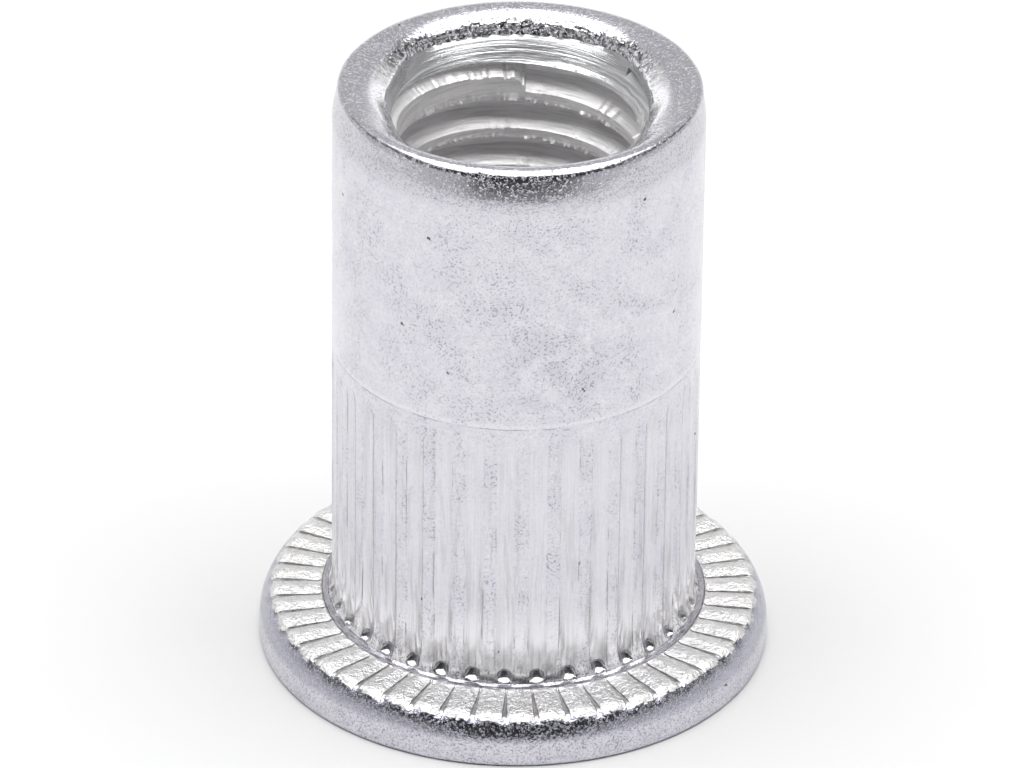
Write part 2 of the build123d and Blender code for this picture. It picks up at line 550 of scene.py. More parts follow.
def thread_r(th, depth):
    n0 = np.floor((depth - groove_up(0, th)) / PITCH)
    r = np.full_like(depth, R_MINOR)
    for n in range(-2, 10):
        r = np.where(n0 == n, groove_r(n, th, depth), r)
    return np.maximum(r, cone_r(depth, th))


DEPTH_END = H - Z_THREAD_END
TURNS = range(-1, 9)
rows = [(n, p) for n in TURNS for p in range(ROWS)]
grid_depth = np.stack([row_depth(n, p, col) for n, p in rows])
gap_top, gap_end = 0.03, 0.03
state = np.where(grid_depth < DEPTH_TOP + gap_top, -1, np.where(grid_depth > DEPTH_END - gap_end, 1, 0))

# a row close to the lower edge of the countersink is moved onto it
for j in range(N_COL):
    d = grid_depth[:, j]
    k = int(np.argmin(np.abs(d - 1.57)))
    if 1 <= k < len(rows) - 1 and abs(d[k] - 1.57) < 0.09 and thread_r(np.array([col[j]]), np.array([1.60]))[0] < R_MINOR + 0.02:
        d[k] = 1.57

inner = state == 0
th_grid = np.broadcast_to(col, grid_depth.shape)
r_grid = thread_r(th_grid.ravel(), grid_depth.ravel()).reshape(grid_depth.shape)
for m, (n, p) in enumerate(rows):
    along = np.stack([(col - 360.0 * n) * D * R_MINOR, col * 0 + 3.1 * n, col * 0 + 0.7 * p], -1)
    patch = smooth(-0.35, 0.35, noise3(along, 0.9, 61))
    tear = np.clip(noise3(along, 0.10, 62) + 0.6 * _hash(np.arange(N_COL), n + 9, p, 63), -1, 1)
    deep_in = smooth(1.66, 1.85, grid_depth[m])      # none of it on the cone
    if p in (9, 10, 11):      # the lower edge of a crest: metal dragged inward in flakes
        grow = {9: 0.015, 10: 0.070, 11: 0.105}[p]
        r_grid[m] -= deep_in * (grow * patch * np.clip(tear + 0.15, 0, 1) + 0.006 * tear)
        grid_depth[m] += 0.045 * tear * patch * deep_in
    elif p in (6, 7):         # the upper edge: small chips
        r_grid[m] += deep_in * {6: 0.030, 7: 0.014}[p] * tear * patch
        grid_depth[m] += 0.035 * tear * patch * deep_in
    elif p in (0, 1):
        grid_depth[m] += 0.020 * tear * patch * deep_in
ids = np.full(grid_depth.shape, -1, np.int64)
flat = inner.ravel()
new = skin.add(polar(th_grid.ravel()[flat], r_grid.ravel()[flat], H - grid_depth.ravel()[flat]))
tmp = ids.ravel()
tmp[flat] = new
ids = tmp.reshape(grid_depth.shape)
end_ids = skin.add(polar(col, R_MINOR, Z_THREAD_END))
ids = np.where(state == -1, top_ids[None, :], ids)
ids = np.where(state == 1, end_ids[None, :], ids)
M = len(rows)
for j in range(N_COL):
    k = (j + 1) % N_COL
    wrap = ROWS if j == N_COL - 1 else 0
    for m in range(-ROWS, M):
        def at(row, column, w):
            row = row + w
            if row < 0:
                return top_ids[column]
            if row >= M:
                return end_ids[column]
            return ids[row, column]
        a, b, c, d = at(m, j, 0), at(m, k, -wrap), at(m + 1, k, -wrap), at(m + 1, j, 0)
        quad = []
        for v in (a, b, c, d):
            if v not in quad:
                quad.append(v)
        if len(quad) >= 3:
            skin.faces.append(tuple(quad))
            lo = min(max(m + 1, 0), M - 1)
            skin.zone.append(MACHINED if m < 0 or grid_depth[lo, j] < CONE_END + 0.012 else THREAD)
skin.last = (end_ids, col)

# -- chamber below the thread ---------------------------------------------------
low_col = even(192)
skin.ring(low_col, R_MINOR + 0.02, Z_THREAD_END - 0.03, BORE)
skin.ring(low_col, R_CHAMBER - 0.1, Z_CHAMBER + 0.06, BORE)
skin.ring(low_col, R_CHAMBER, Z_CHAMBER - 0.06, BORE)
for z in (9.0, 6.5, 4.0, 1.6, 0.38):
    skin.ring(low_col, R_CHAMBER, z, BORE)
skin.ring(low_col, R_CHAMBER + 0.03, 0.32, BORE)
first_ids = np.arange(0, 192)
skin.join(skin.last, (first_ids, plain), BORE)

points = np.concatenate(skin.points)

# -- gentle unevenness of the tumbled blank -------------------------------------
rr = np.hypot(points[:, 0], points[:, 1])
zz = points[:, 2]
outward = np.stack([points[:, 0] / rr, points[:, 1] / rr, np.zeros(len(rr))], -1)
outside = (rr > 5.95) & (zz > 0.02)
points = points + outward * (0.006 * fbm(points, 2.2, 3, 21) * outside)[:, None]

# -- the mouth is a little out of true --------------------------------------------
crown = smooth(H - LIP_B, H - 0.2, zz) * smooth(5.0, 5.6, rr)
points = points + outward * (0.016 * fbm(points, 0.9, 2, 23) * crown * smooth(5.6, 5.9, rr))[:, None]
points[:, 0] += 0.03 * crown + 0.045 * points[:, 0] * crown * (1 - smooth(5.95, 6.45, rr))

mesh = bpy.data.meshes.new("rivet_nut_skin")
mesh.from_pydata((points * MM).tolist(), [], [tuple(int(v) for v in f) for f in skin.faces])
mesh.update()
print("SKIN faces", len(mesh.polygons), "tris", sum(len(p.vertices) - 2 for p in mesh.polygons))

piece = bpy.data.objects.new("rivet_nut_skin", mesh)
bpy.context.scene.collection.objects.link(piece)
mesh.shade_smooth()
mesh.set_sharp_from_angle(angle=38 * D)


# --------------------------------------------------------------------------
# Materials
# --------------------------------------------------------------------------
def nodes_of(name):
    m = bpy.data.materials.new(name)
    m.use_nodes = True
    t = m.node_tree
    for n in list(t.nodes):
        if n.type not in ("BSDF_PRINCIPLED", "OUTPUT_MATERIAL"):
            t.nodes.remove(n)
    b = next(n for n in t.nodes if n.type == "BSDF_PRINCIPLED")
    return m, t, b


class Net:
    """A few short calls for building one material's nodes."""
    def __init__(self, name, base, rough, metallic=1.0):
        self.m, self.t, self.b = nodes_of(name)
        self.b.inputs["Metallic"].default_value = metallic
        self.b.inputs["Base Color"].default_value = (*base, 1)
        self.b.inputs["Roughness"].default_value = rough
        self.base = base
        tc = self.t.nodes.new("ShaderNodeTexCoord")
        self.at = tc.outputs["Object"]

    def link(self, value, socket):
        if isinstance(value, (int, float)):
            socket.default_value = value
        elif isinstance(value, (tuple, list)):
            socket.default_value = value
        else:
            self.t.links.new(value, socket)

    def math(self, op, *args, clamp=False):
        n = self.t.nodes.new("ShaderNodeMath")
        n.operation, n.use_clamp = op, clamp
        for i, v in enumerate(args):
            self.link(v, n.inputs[i])
        return n.outputs[0]

    def xyz(self):
        n = self.t.nodes.new("ShaderNodeSeparateXYZ")
        self.t.links.new(self.at, n.inputs[0])
        return n.outputs

    def vec(self, x, y, z):
        n = self.t.nodes.new("ShaderNodeCombineXYZ")
        for i, v in enumerate((x, y, z)):
            self.link(v, n.inputs[i])
        return n.outputs[0]

    def noise(self, size_mm, at=None, detail=2.0, rough=0.5):
        n = self.t.nodes.new("ShaderNodeTexNoise")
        n.inputs["Scale"].default_value = 1.0 / (size_mm * MM)
        n.inputs["Detail"].default_value = detail
        n.inputs["Roughness"].default_value = rough
        self.t.links.new(at or self.at, n.inputs["Vector"])
        return n.outputs["Fac"]

    def cells(self, size_mm, at=None):
        n = self.t.nodes.new("ShaderNodeTexVoronoi")
        n.inputs["Scale"].default_value = 1.0 / (size_mm * MM)
        self.t.links.new(at or self.at, n.inputs["Vector"])
        return n.outputs["Distance"], n.outputs["Color"]

    def ramp(self, x, lo, hi, a=0.0, b=1.0):
        n = self.t.nodes.new("ShaderNodeMapRange")
        n.interpolation_type = "SMOOTHSTEP"
        self.link(x, n.inputs["Value"])
        for k, v in (("From Min", lo), ("From Max", hi), ("To Min", a), ("To Max", b)):
            n.inputs[k].default_value = v
        return n.outputs[0]

    def mix(self, f, a, b):
        n = self.t.nodes.new("ShaderNodeMix")
        n.data_type = "RGBA"
        self.link(f, n.inputs["Factor"])
        self.link(a if not isinstance(a, tuple) else (*a, 1), n.inputs["A"])
        self.link(b if not isinstance(b, tuple) else (*b, 1), n.inputs["B"])
        return n.outputs["Result"]

    def bump(self, height, depth_mm, normal=None):
        n = self.t.nodes.new("ShaderNodeBump")
        n.inputs["Strength"].default_value = 1.0
        n.inputs["Distance"].default_value = depth_mm * MM
        self.link(height, n.inputs["Height"])
        if normal is not None:
            self.link(normal, n.inputs["Normal"])
        return n.outputs[0]

    def done(self, colour=None, rough=None, normal=None):
        if colour is not None:
            self.link(colour, self.b.inputs["Base Color"])
        if rough is not None:
            self.link(rough, self.b.inputs["Roughness"])
        if normal is not None:
            self.link(normal, self.b.inputs["Normal"])
        return self.m


def tumbled():
    """Barrel-tumbled blank: a pale ground with loose clusters of fine dark pricks, a few
    larger pits, and a hammered, glittering skin on the rounded edges.  The pressed
    flutes are smoother, with broken lines of painted shade along their edges."""
    n = Net("aluminium_tumbled", (0.70, 0.69, 0.745), 0.2)
    x, y, z = n.xyz()
    r = n.math("SQRT", n.math("ADD", n.math("MULTIPLY", x, x), n.math("MULTIPLY", y, y)))
    turn = n.math("DIVIDE", n.math("ARCTAN2", y, x), 2 * math.pi)
    # distance from the nearest flute's middle, as a share of the spacing
    step = n.math("PINGPONG", n.math("ADD", n.math("MULTIPLY", turn, float(N_FLUTE)), 100 - FLUTE_PHASE / 10.0), 0.5)
    knurl = n.math("MULTIPLY", n.ramp(z, 0.0019, 0.0021), n.ramp(z, 0.0108, 0.0121, 1.0, 0.0))
    groove = n.math("MULTIPLY", n.ramp(step, 0.24, 0.31, 1.0, 0.0), knurl)
    shoulder = n.ramp(z, 0.0206, 0.0213)
    rimband = n.math("MULTIPLY", n.ramp(z, 0.00085, 0.00110), n.ramp(r, 0.0085, 0.0087))
    edge = n.math("MAXIMUM", shoulder, rimband)
    side = n.math("MULTIPLY", n.ramp(r, 0.0080, 0.0085), n.ramp(z, 0.0009, 0.0011, 1.0, 0.0))

    cluster = n.ramp(n.noise(1.5, detail=3.0, rough=0.6), 0.44, 0.64)
    gone = n.math("ADD", n.math("POWER", n.math("SUBTRACT", x, 0.0013), 2.0), n.math("POWER", n.math("SUBTRACT", z, 0.0146), 2.0))
    smudge = n.math("MULTIPLY", n.ramp(n.math("SQRT", gone), 0.0006, 0.0026, 1.0, 0.0), n.ramp(y, -0.002, 0.0, 1.0, 0.0))
    smudge = n.math("MULTIPLY", smudge, n.ramp(n.noise(0.9, detail=4.0, rough=0.65), 0.40, 0.58))
    cluster = n.math("ADD", cluster, n.math("MULTIPLY", smudge, 0.9), clamp=True)
    broad = n.noise(0.9, detail=4.0, rough=0.6)
    grain = n.noise(0.082, detail=2.0, rough=0.65)
    foot = n.math("MULTIPLY", n.ramp(z, 0.00215, 0.00275, 1.0, 0.0), n.ramp(r, 0.0069, 0.0071, 1.0, 0.0))
    grit = n.noise(0.115, detail=2.5, rough=0.6)
    warp = n.t.nodes.new("ShaderNodeTexNoise")
    warp.inputs["Scale"].default_value = 1.0 / (0.12 * MM)
    warp.inputs["Detail"].default_value = 1.0
    n.t.links.new(n.at, warp.inputs["Vector"])
    push = n.t.nodes.new("ShaderNodeVectorMath")
    push.operation = "MULTIPLY_ADD"
    n.t.links.new(warp.outputs["Color"], push.inputs[0])
    push.inputs[1].default_value = (0.00016, 0.00016, 0.00016)
    n.t.links.new(n.at, push.inputs[2])

    def pits(cell, size, soft, keep):
        dist, colour = n.cells(cell, push.outputs[0])
        sep = n.t.nodes.new("ShaderNodeSeparateColor")
        n.t.links.new(colour, sep.inputs[0])
        chosen = n.math("GREATER_THAN", sep.outputs[0], keep)
        rim_ = n.math("MULTIPLY", n.math("ADD", n.math("MULTIPLY", sep.outputs[1], 0.8), 0.2), size)
        inside = n.ramp(n.math("SUBTRACT", dist, rim_), 0.0, soft, 1.0, 0.0)
        return n.math("MULTIPLY", inside, chosen)

    speck = n.ramp(grain, 0.35, 0.43, 1.0, 0.0)
    weight = n.math("ADD", n.math("MULTIPLY", cluster, 0.62), 0.42)
    weight = n.math("ADD", weight, n.math("MULTIPLY", foot, 0.4))
    weight = n.math("ADD", weight, n.math("MULTIPLY", side, 0.55))
    weight = n.math("MULTIPLY", weight, n.math("SUBTRACT", 1.0, n.math("MULTIPLY", groove, 0.65)))
    speck = n.math("MULTIPLY", speck, weight)
    fleck = n.math("MULTIPLY", n.ramp(grain, 0.60, 0.70), weight)
    large = pits(0.95, 0.075, 0.03, n.math("ADD", n.math("MULTIPLY", cluster, -0.25), 0.72))

    col = n.mix(n.ramp(broad, 0.35, 0.65), (0.778, 0.770, 0.818), (0.732, 0.723, 0.779))
    fine = n.noise(0.052, detail=1.5, rough=0.6)
    col = n.mix(n.ramp(fine, 0.34, 0.56, 0.42, 0.0), col, (0.56, 0.55, 0.61))
    col = n.mix(n.math("MULTIPLY", cluster, 0.27), col, (0.56, 0.55, 0.62))
    mottle = n.noise(0.20, detail=3.0, rough=0.7)
    col = n.mix(n.ramp(mottle, 0.36, 0.62, 0.38, 0.0), col, (0.60, 0.59, 0.65))
    col = n.mix(n.math("MULTIPLY", knurl, 0.12), col, (0.62, 0.61, 0.65))
    col = n.mix(n.math("MULTIPLY", groove, 0.45), col, (0.775, 0.77, 0.805))
    # painted highlight: the shank is coloured much paler just above the head
    painted_light_above_head = n.math("MULTIPLY", n.ramp(z, 0.0024, 0.0052, 1.0, 0.0), n.ramp(r, 0.0066, 0.0067, 1.0, 0.0))
    col = n.mix(n.math("MULTIPLY", painted_light_above_head, 0.90), col, (0.97, 0.965, 0.985))
    # painted shade: the rounded shoulder of the mouth and the rounded rim of the head are coloured darker, the rim band
    # darkest
    col = n.mix(n.math("MULTIPLY", edge, 0.55), col, (0.62, 0.615, 0.66))
    col = n.mix(n.math("MULTIPLY", rimband, 0.70), col, (0.40, 0.40, 0.47))
    # painted shade: a dark ring in the step under the collar, made patchy by noise
    ledge = n.math("MULTIPLY", n.math("MULTIPLY", n.ramp(z, 0.00184, 0.00188, 1.0, 0.0), n.ramp(z, 0.00175, 0.00180)), n.ramp(r, 0.00688, 0.00692, 1.0, 0.0))
    uneven_factor = n.noise(0.07, at=n.vec(n.math("MULTIPLY", x, 0.15), n.math("MULTIPLY", y, 0.15), r), detail=2.0)
    col = n.mix(n.math("MULTIPLY", ledge, n.ramp(uneven_factor, 0.42, 0.58, 0.60, 0.08)), col, (0.36, 0.35, 0.36))
    # painted shade in the hollow of each flute's arched end
    dome = n.math("SQRT", n.math("ADD", n.math("POWER", n.math("DIVIDE", step, 0.23), 2.0), n.math("POWER", n.math("DIVIDE", n.math("SUBTRACT", z, 0.00202), 0.00025), 2.0)))
    hollow_shade = n.math("MULTIPLY", n.ramp(dome, 0.80, 1.0, 1.0, 0.0), n.math("MULTIPLY", n.ramp(z, 0.00199, 0.00202), n.ramp(r, 0.0066, 0.0067, 1.0, 0.0)))
    col = n.mix(n.math("MULTIPLY", hollow_shade, 0.60), col, (0.12, 0.12, 0.17))
    # darker vertical streaks at the foot of the shank
    foot_streaks = n.math("MULTIPLY", n.math("MULTIPLY", n.ramp(z, 0.0022, 0.0029, 1.0, 0.0), n.ramp(r, 0.0066, 0.0067, 1.0, 0.0)), n.ramp(n.noise(0.30, at=n.vec(x, y, n.math("MULTIPLY", z, 0.45)), detail=4.0, rough=0.7), 0.48, 0.59))
    col = n.mix(n.math("MULTIPLY", foot_streaks, 0.62), col, (0.34, 0.33, 0.36))
    col = n.mix(n.math("MULTIPLY", smudge, 0.38), col, (0.54, 0.53, 0.60))
    # painted shade: the outer shoulder of the mouth is coloured a little darker
    brim_shade = n.math("MULTIPLY", shoulder, n.ramp(r, 0.00612, 0.00634))
    col = n.mix(n.math("MULTIPLY", brim_shade, 0.16), col, (0.36, 0.36, 0.41))
    flank = n.math("MULTIPLY", n.ramp(r, 0.00510, 0.00532, 1.0, 0.0), n.ramp(z, 0.0210, 0.0212))
    flank = n.math("MULTIPLY", flank, n.ramp(y, 0.0013, 0.0034, 1.0, 0.0))      # painted highlight on the inner flank, kept off the torn part at the back
    col = n.mix(n.math("MULTIPLY", flank, n.ramp(grit, 0.36, 0.46, 0.5, 0.95)), col, (0.975, 0.975, 1.0))
    # the torn inner edge of the mouth: pale flakes with dark gaps between them
    lip_in = n.math("MULTIPLY", n.math("MULTIPLY", n.ramp(r, 0.00520, 0.00535, 1.0, 0.0), n.ramp(r, 0.0046, 0.0047)), n.ramp(y, 0.0005, 0.0042))
    lip_in = n.math("MULTIPLY", lip_in, n.ramp(z, 0.0210, 0.0212))
    gap = n.ramp(n.noise(0.11, detail=2.0, rough=0.6), 0.44, 0.52, 1.0, 0.0)
    col = n.mix(n.math("MULTIPLY", lip_in, 0.8), col, (0.85, 0.85, 0.87))
    col = n.mix(n.math("MULTIPLY", n.math("MULTIPLY", lip_in, gap), 0.85), col, (0.12, 0.115, 0.12))
    # painted shade: broken dark lines along the flutes' edges; and fine drawn streaks in the flutes
    long = n.vec(x, y, n.math("MULTIPLY", z, 0.18))
    broken = n.noise(0.42, at=long, detail=3.0, rough=0.65)
    shift = n.math("MULTIPLY", n.math("SUBTRACT", n.noise(0.5, at=long), 0.5), 0.10)
    off = n.math("ABSOLUTE", n.math("SUBTRACT", n.math("ADD", step, shift), 0.305))
    line = n.math("MULTIPLY", n.ramp(off, 0.008, 0.028, 1.0, 0.0), n.ramp(broken, 0.49, 0.64))
    line = n.math("MULTIPLY", line, n.math("MULTIPLY", knurl, n.ramp(z, 0.0025, 0.0070, 1.6, 1.0)))
    streak = n.noise(0.06, at=n.vec(x, y, n.math("MULTIPLY", z, 0.02)), detail=2.0)
    col = n.mix(n.math("MULTIPLY", n.ramp(streak, 0.35, 0.6, 0.42, 0.0), groove), col, (0.60, 0.59, 0.62))
    col = n.mix(n.math("MULTIPLY", line, 0.50), col, (0.20, 0.19, 0.20))
    scuff = n.math("MULTIPLY", n.ramp(n.noise(0.24, at=n.vec(x, y, n.math("MULTIPLY", z, 0.10)), detail=3.0, rough=0.65), 0.52, 0.63), knurl)
    scuff = n.math("MULTIPLY", scuff, n.ramp(z, 0.0030, 0.0090, 1.0, 0.45))
    col = n.mix(n.math("MULTIPLY", scuff, 0.36), col, (0.33, 0.32, 0.34))
    # the scored line that ends the knurl
    score = n.math("ABSOLUTE", n.math("SUBTRACT", n.math("ADD", z, n.math("MULTIPLY", n.math("SUBTRACT", n.noise(0.9), 0.5), 0.00005)), (Z_KNURL - 0.01) * MM))
    score = n.math("MULTIPLY", n.ramp(score, 0.000008, 0.000028, 1.0, 0.0), n.ramp(n.noise(0.8, detail=3.0), 0.38, 0.58))
    # painted highlight: a lighter band just above the scored line
    score_highlight = n.math("MULTIPLY", n.ramp(z, (Z_KNURL + 0.01) * MM, (Z_KNURL + 0.05) * MM), n.ramp(z, (Z_KNURL + 0.12) * MM, (Z_KNURL + 0.24) * MM, 1.0, 0.0))
    col = n.mix(n.math("MULTIPLY", score_highlight, 0.55), col, (0.80, 0.795, 0.83))
    col = n.mix(n.math("MULTIPLY", score, 0.55), col, (0.25, 0.24, 0.27))
    speck = n.math("MULTIPLY", speck, n.math("SUBTRACT", 1.0, n.math("MULTIPLY", flank, 0.7)))
    col = n.mix(n.math("MULTIPLY", speck, 0.66), col, (0.32, 0.305, 0.36))
    # dark specks on the side of the rim
    rim_side_specks = n.math("MULTIPLY", n.ramp(n.noise(0.065, detail=1.5), 0.40, 0.47, 1.0, 0.0), side)
    col = n.mix(n.math("MULTIPLY", rim_side_specks, 0.60), col, (0.40, 0.39, 0.45))
    col = n.mix(n.math("MULTIPLY", fleck, 0.30), col, (0.84, 0.835, 0.87))
    col = n.mix(n.math("MULTIPLY", large, 0.92), col, (0.08, 0.075, 0.08))
    # roughened ground: strong on the edges, slight elsewhere
    amp = n.math("ADD", n.math("MULTIPLY", edge, 0.12), n.math("ADD", n.math("MULTIPLY", side, 0.10), 0.06))
    amp = n.math("MULTIPLY", amp, n.math("SUBTRACT", 1.0, n.math("MULTIPLY", groove, 0.7)))
    amp = n.math("ADD", amp, n.math("MULTIPLY", rimband, 0.16))
    amp = n.math("MULTIPLY", amp, n.math("SUBTRACT", 1.0, n.math("MULTIPLY", flank, 0.75)))
    # flat ground with scattered small steep grains on it
    dome = n.math("ADD", n.math("MULTIPLY", n.ramp(grit, 0.555, 0.635), edge), n.math("MULTIPLY", grit, 0.55))
    h = n.math("MULTIPLY", dome, amp)
    h = n.math("SUBTRACT", h, n.math("MULTIPLY", speck, 0.05))
    h = n.math("SUBTRACT", h, n.math("MULTIPLY", large, 0.25))
    normal = n.bump(h, 0.10)
    rough = n.math("SUBTRACT", n.ramp(broad, 0.3, 0.7, 0.17, 0.22), n.math("MULTIPLY", edge, 0.08))
    rough = n.math("ADD", rough, n.math("MULTIPLY", foot, 0.06))
    return n.done(col, rough, normal)


def turned(name, tone, rough, metallic, depth_mm, aniso, reflection_rings_at=()):
    """Cut metal, with marks that run round the axis; the last argument lists broader
    rings, partly turned rings and partly painted light and shade bands, as depth below the crown, half width and tone."""
    n = Net(name, tone, rough, metallic)
    x, y, z = n.xyz()
    r = n.math("SQRT", n.math("ADD", n.math("MULTIPLY", x, x), n.math("MULTIPLY", y, y)))
    # stretched round the axis: the marks drift slowly with x and y
    place = n.vec(n.math("ADD", n.math("MULTIPLY", r, 1.0), n.math("MULTIPLY", x, 0.04)), n.math("MULTIPLY", y, 0.05), z)
    rings = n.noise(0.11, at=place, detail=3.0, rough=0.65)
    grain = n.noise(0.07, detail=1.0)
    h = n.math("ADD", n.math("MULTIPLY", rings, 1.0), n.math("MULTIPLY", grain, 0.25))
    normal = n.bump(h, depth_mm)
    tangent = n.t.nodes.new("ShaderNodeTangent")
    tangent.direction_type = "RADIAL"
    tangent.axis = "Z"
    n.t.links.new(tangent.outputs[0], n.b.inputs["Tangent"])
    n.b.inputs["Anisotropic"].default_value = aniso
    n.b.inputs["Anisotropic Rotation"].default_value = 0.25
    dark = n.mix(n.ramp(rings, 0.35, 0.6), tuple(0.8 * v for v in tone), tone)
    wander = n.math("MULTIPLY", n.math("SUBTRACT", n.noise(1.3, detail=2.0), 0.5), 0.00016)
    below = n.math("SUBTRACT", H * MM, n.math("ADD", z, wander))
    # painted light and shade: rings coloured darker or lighter than the metal at set depths
    for at, half, factor in reflection_rings_at:
        off = n.math("ABSOLUTE", n.math("SUBTRACT", below, at * MM))
        place_ = n.ramp(off, 0.5 * half * MM, half * MM, 0.9, 0.0)
        place_ = n.math("MULTIPLY", place_, n.ramp(n.noise(0.5, at=place, detail=3.0), 0.30, 0.50, 0.30, 0.80))
        dark = n.mix(place_, dark, tuple(min(1.0, factor * v) for v in tone))
    return n.done(dark, None, normal)


def pressed():
    """Coined pads: pale, matt and pebbled, with painted shade in dark ragged lines where they end, in their valleys and
    at their inner ends.
    """
    n = Net("aluminium_pressed", (0.80, 0.795, 0.79), 0.30, 0.80)
    x, y, z = n.xyz()
    r = n.math("SQRT", n.math("ADD", n.math("MULTIPLY", x, x), n.math("MULTIPLY", y, y)))
    turn = n.math("DIVIDE", n.math("ARCTAN2", y, x), 2 * math.pi)
    step = n.math("PINGPONG", n.math("ADD", n.math("MULTIPLY", turn, float(N_SERR)), 100 - SERR_PHASE * N_SERR / 360.0), 0.5)
    away = n.math("MULTIPLY", n.math("MULTIPLY", step, r), 2 * math.pi / N_SERR)      # metres from the valley's middle
    fine = n.noise(0.075, detail=2.0, rough=0.6)
    pebble = n.noise(0.19, detail=3.0, rough=0.65)
    broad = n.noise(0.6, detail=3.0)
    open_ = n.ramp(r, 0.0071, 0.0085, 0.000030, SERR_HALF * MM)
    valley = n.ramp(n.math("SUBTRACT", away, open_), -0.00002, 0.00001, 1.0, 0.0)
    ragged = n.math("MULTIPLY", n.math("SUBTRACT", n.noise(0.20, detail=2.0), 0.5), 0.00010)
    edge = n.math("ABSOLUTE", n.math("SUBTRACT", n.math("ADD", away, ragged), open_))
    edge = n.math("MULTIPLY", n.ramp(edge, 0.000008, 0.000034, 1.0, 0.0), n.ramp(n.noise(0.30, detail=2.0), 0.36, 0.52))
    inner = n.math("MULTIPLY", n.ramp(r, 0.00686, 0.00689, 1.0, 0.0), 1.0)
    col = n.mix(n.ramp(broad, 0.3, 0.7, 0.0, 0.6), (0.83, 0.825, 0.82), (0.76, 0.755, 0.755))
    col = n.mix(n.ramp(pebble, 0.30, 0.50, 0.45, 0.0), col, (0.46, 0.44, 0.43))
    col = n.mix(n.ramp(fine, 0.34, 0.48, 0.35, 0.0), col, (0.40, 0.39, 0.38))
    # painted shade: the outer part of each valley is coloured dark in patches
    far = n.math("MULTIPLY", n.math("MULTIPLY", valley, n.ramp(r, 0.0078, 0.0084)), n.ramp(n.noise(0.16, detail=2.0), 0.42, 0.55))
    col = n.mix(n.math("MULTIPLY", far, 0.7), col, (0.30, 0.28, 0.27))
    # painted shade: the valleys are coloured greyer
    col = n.mix(n.math("MULTIPLY", valley, 0.5), col, (0.70, 0.695, 0.71))
    # painted shade: dark ragged lines along the edges of the valleys
    col = n.mix(n.math("MULTIPLY", edge, 0.45), col, (0.28, 0.25, 0.23))
    # painted shadow: dark brown at the inner ends of the pads, against the step of the collar
    col = n.mix(n.math("MULTIPLY", inner, 0.55), col, (0.20, 0.16, 0.14))
    tame = n.math("SUBTRACT", 1.0, n.math("MULTIPLY", valley, 0.75))
    h = n.math("MULTIPLY", n.math("ADD", pebble, n.math("MULTIPLY", fine, 0.35)), tame)
    rough = n.math("SUBTRACT", 0.30, n.math("MULTIPLY", valley, 0.02))
    return n.done(col, rough, n.bump(h, 0.085))


mats = [
    tumbled(),
    pressed(),
    # countersink rings: painted shade at 0.90, 1.03, 1.275 and 1.38 mm below the crown, painted highlight at 1.20 and
    # 1.47 mm
    turned("aluminium_countersink", (0.89, 0.895, 0.91), 0.24, 0.72, 0.030, 0.5,
           ((0.90, 0.46, 0.46), (1.03, 0.10, 0.58), (1.20, 0.035, 1.10), (1.275, 0.035, 0.45), (1.38, 0.040, 0.48), (1.47, 0.05, 1.10))),
    turned("aluminium_thread", (0.98, 0.97, 0.975), 0.36, 0.45, 0.026, 0.6),
    turned("aluminium_bore", (0.78, 0.78, 0.80), 0.35, 0.8, 0.006, 0.3),
]
for m in mats:
    mesh.materials.append(m)
mesh.polygons.foreach_set("material_index", np.array(skin.zone, np.int32))

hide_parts("rivet_nut")
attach(piece, "root")

# --------------------------------------------------------------------------
# Floor, light and camera
# --------------------------------------------------------------------------
fm = bpy.data.meshes.new("floor")
fm.from_pydata([(-0.15, -0.075, 0), (0.15, -0.075, 0), (0.15, 0.30, 0), (-0.15, 0.30, 0)], [], [(0, 1, 2, 3)])
floor = bpy.data.objects.new("floor", fm)
bpy.context.scene.collection.objects.link(floor)
m, t, b = nodes_of("floor_white")
b.inputs["Base Color"].default_value = (0.69, 0.69, 0.69, 1)
b.inputs["Roughness"].default_value = 0.8
b.inputs["Specular IOR Level"].default_value = 0.0
fm.materials.append(m)

world = bpy.data.worlds.new("studio")
bpy.context.scene.world = world
world.use_nodes = True
wt = world.node_tree
for n in list(wt.nodes):
    wt.nodes.remove(n)


def wnode(kind, **inputs):
    n = wt.nodes.new(kind)
    for k, v in inputs.items():
        n.inputs[k].default_value = v
    return n


def wmath(op, a, b=None, c=None):
    n = wt.nodes.new("ShaderNodeMath")
    n.operation = op
    for i, v in enumerate((a, b, c)):
        if v is None:
            continue
        if isinstance(v, (int, float)):
            n.inputs[i].default_value = v
        else:
            wt.links.new(v, n.inputs[i])
    return n.outputs[0]


def wramp(x, lo, hi):
    """0 below lo, 1 above hi, smooth between."""
    n = wt.nodes.new("ShaderNodeMapRange")
    n.interpolation_type = "SMOOTHSTEP"
    n.clamp = True
    wt.links.new(x, n.inputs["Value"])
    n.inputs["From Min"].default_value = lo
    n.inputs["From Max"].default_value = hi
    n.inputs["To Min"].default_value = 0.0
    n.inputs["To Max"].default_value = 1.0
    return n.outputs[0]


tc = wt.nodes.new("ShaderNodeTexCoord")
sep = wt.nodes.new("ShaderNodeSeparateXYZ")
wt.links.new(tc.outputs["Generated"], sep.inputs[0])
X, Y, Z = sep.outputs[0], sep.outputs[1], sep.outputs[2]
elev = wmath("ARCSINE", Z)                       # radians
flat_len = wmath("SQRT", wmath("ADD", wmath("MULTIPLY", X, X), wmath("MULTIPLY", Y, Y)))
azim = wmath("ARCTAN2", wmath("ADD", X, 0.0), wmath("MULTIPLY", Y, -1.0))   # 0 towards -Y, positive to +X
azim = wmath("ABSOLUTE", wmath("SUBTRACT", azim, 3 * D))

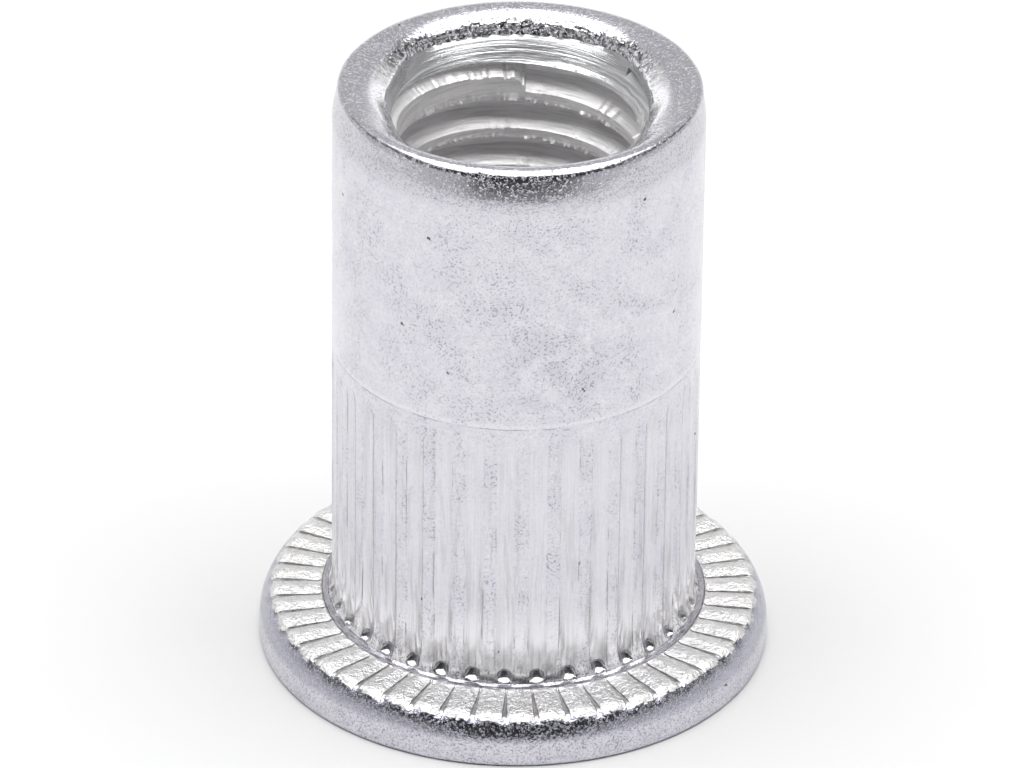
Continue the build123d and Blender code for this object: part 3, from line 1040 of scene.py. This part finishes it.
TOP, CEIL = 4.2, 0.5
LOW_FRONT, LOW_SIDE, LOW_BACK = 0.30, 0.66, 1.10      # near the horizon and below it
MID_FRONT, MID_SIDE, MID_BACK = 0.05, 0.14, 0.54      # 20 to 58 degrees up


def wlerp(f, a, b):
    """From a to b by f."""
    return wmath("ADD", wmath("MULTIPLY", f, wmath("SUBTRACT", b, a)), a)


front = wmath("ADD", wmath("MULTIPLY", wramp(elev, -5 * D, 2 * D), 0.07 - LOW_FRONT), LOW_FRONT)
low = wlerp(wramp(azim, 20 * D, 47 * D), front, LOW_SIDE)
low = wlerp(wmath("MULTIPLY", wramp(azim, 108 * D, 124 * D), wmath("SUBTRACT", 1.0, wramp(elev, 1 * D, 6 * D))), low, 0.32)
low = wlerp(wmath("MULTIPLY", wramp(azim, 108 * D, 124 * D), wramp(elev, 1 * D, 6 * D)), low, LOW_BACK)
low = wlerp(wramp(azim, 152 * D, 166 * D), low, LOW_BACK)
mid = wmath("ADD", wmath("MULTIPLY", wramp(azim, 40 * D, 80 * D), MID_SIDE - MID_FRONT), MID_FRONT)
mid = wmath("ADD", mid, wmath("MULTIPLY", wramp(azim, 124 * D, 146 * D), MID_BACK - MID_SIDE))
walls = wlerp(wramp(elev, 12 * D, 25 * D), low, mid)
# ceiling, then the overhead panel in it: phi runs from the back horizon over the top
value = wlerp(wramp(elev, 58 * D, 72 * D), walls, CEIL)
phi = wmath("ARCTAN2", Z, Y)
panel = wmath("MULTIPLY", wramp(phi, 63 * D, 69 * D), wmath("SUBTRACT", 1.0, wramp(phi, 114 * D, 118 * D)))
panel = wmath("MULTIPLY", panel, wmath("SUBTRACT", 1.0, wramp(wmath("ABSOLUTE", X), 0.55, 0.70)))
value = wlerp(panel, value, TOP)
lighting = wt.nodes.new("ShaderNodeBackground")
wt.links.new(value, lighting.inputs["Strength"])
lighting.inputs["Color"].default_value = (1, 1, 1, 1)
seen = wt.nodes.new("ShaderNodeBackground")
seen.inputs["Color"].default_value = (1, 1, 1, 1)
seen.inputs["Strength"].default_value = 1.0
path = wt.nodes.new("ShaderNodeLightPath")
mix = wt.nodes.new("ShaderNodeMixShader")
wt.links.new(path.outputs["Is Camera Ray"], mix.inputs[0])
wt.links.new(lighting.outputs[0], mix.inputs[1])
wt.links.new(seen.outputs[0], mix.inputs[2])
out = wt.nodes.new("ShaderNodeOutputWorld")
wt.links.new(mix.outputs[0], out.inputs["Surface"])

# Camera
E, DIST, FOCAL, ROLL = 0.5417, 312.02, 8830.26, 0.0116
TX, TZ = -0.1324, 10.1859
cam_data = bpy.data.cameras.new("camera")
cam = bpy.data.objects.new("camera", cam_data)
bpy.context.scene.collection.objects.link(cam)
cam_data.sensor_width = 36.0
cam_data.sensor_fit = "HORIZONTAL"
cam_data.lens = FOCAL / 1024 * 36.0
cam_data.clip_start = 0.01
cam_data.clip_end = 10.0
pos = Vector((TX, -DIST * math.cos(E), TZ + DIST * math.sin(E))) * MM
right = Vector((1, 0, 0))
upv = Vector((0, math.sin(E), math.cos(E)))
back = Vector((0, -math.cos(E), math.sin(E)))
rot = Matrix((right, upv, back)).transposed()
rot = rot @ Matrix.Rotation(ROLL, 3, "Z")
cam.matrix_world = Matrix.Translation(pos) @ rot.to_4x4()
bpy.context.scene.camera = cam

bpy.context.scene.view_settings.view_transform = "Standard"
bpy.context.scene.view_settings.look = "None"

bpy.context.view_layer.update()
